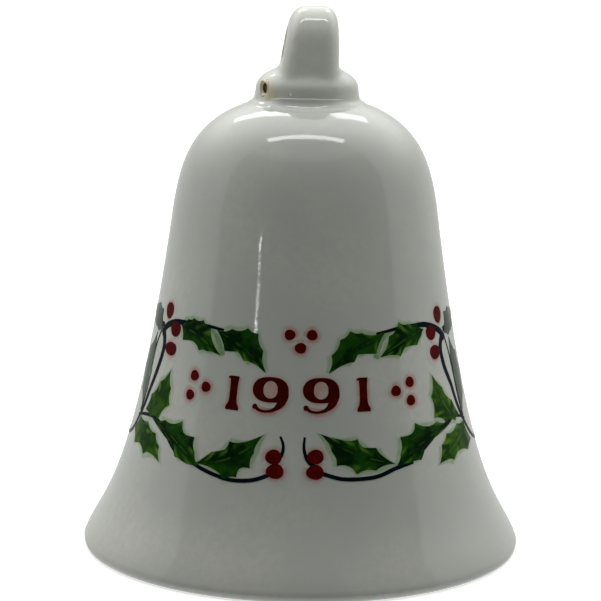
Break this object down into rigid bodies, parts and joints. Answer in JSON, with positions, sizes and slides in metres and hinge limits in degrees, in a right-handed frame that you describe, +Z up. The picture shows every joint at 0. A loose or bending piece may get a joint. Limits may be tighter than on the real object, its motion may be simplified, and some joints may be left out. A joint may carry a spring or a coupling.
{
  "type": "christmas bell ornament",
  "caption": "Small glazed porcelain hanging bell with a pierced lug, a holly transfer round its waist and a bead clapper on a wire inside.",
  "frame": {"origin": "centre of the mouth, on the plane of the foot ring that the bell stands on", "axes": "+Z up along the bell's axis to the lug; the decorated front with the numerals faces -Y; +X to the right of a viewer in front"},
  "size_m": [0.0612, 0.0612, 0.0755],
  "materials": {
    "porcelain": "gloss",
    "bead_porcelain": "gloss",
    "pin_brass": "satin",
    "clapper_brass": "satin",
    "cement": "matt"
  },
  "bodies": {
    "bell": {"bell_shell": "porcelain", "crown_loop": "porcelain", "clapper_pin": "pin_brass", "pin_cement_front": "cement", "pin_cement_back": "cement"},
    "ring": {"clapper_ring": "clapper_brass"},
    "striker": {"clapper_wire": "clapper_brass"},
    "bead": {"clapper_bead": "bead_porcelain"}
  },
  "joints": [
    {"name": "ring_swing", "type": "hinge", "parent": "bell", "child": "ring", "pos_m": [0, 0, 0.0645], "axis": [0.8434, 0.5373, 0], "range_deg": [-17.5, 17.5]},
    {"name": "wire_swing", "type": "hinge", "parent": "ring", "child": "striker", "pos_m": [0, 0, 0.06248], "axis": [-0.5373, 0.8434, 0], "range_deg": [-5, 5]},
    {"name": "bead_spin", "type": "hinge", "parent": "striker", "child": "bead", "pos_m": [0, 0, 0.014], "axis": [0, 0, 1], "continuous": true}
  ]
}
